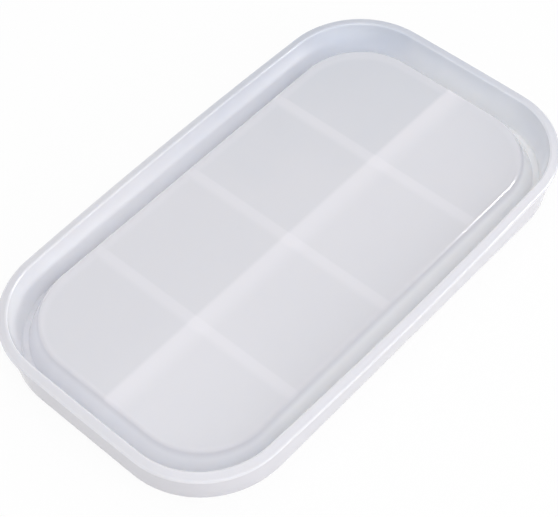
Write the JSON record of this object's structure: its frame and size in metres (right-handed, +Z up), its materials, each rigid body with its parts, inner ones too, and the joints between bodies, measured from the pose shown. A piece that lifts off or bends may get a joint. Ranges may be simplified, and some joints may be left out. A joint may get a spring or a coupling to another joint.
{
  "type": "silicone tray mould",
  "caption": "Shallow rounded-rectangle silicone casting mould with an overhanging flat rim, a channel all round, a raised platform and ribs beneath.",
  "frame": {"origin": "middle of the underside, on the surface that the mould stands on", "axes": "+X along the mould, +Y across it, +Z up out of the cavity"},
  "size_m": [0.2868, 0.1682, 0.0236],
  "materials": {
    "silicone": "milky translucent silicone, satin to glossy where the master was polished"
  },
  "bodies": {
    "root": {"rim_flange": "silicone", "outer_wall": "silicone", "channel_floor": "silicone", "platform_wall": "silicone", "casting_face": "silicone", "long_rib": "silicone", "cross_rib_left_front": "silicone", "cross_rib_left_back": "silicone", "cross_rib_middle_front": "silicone", "cross_rib_middle_back": "silicone", "cross_rib_right_front": "silicone", "cross_rib_right_back": "silicone"}
  },
  "joints": []
}
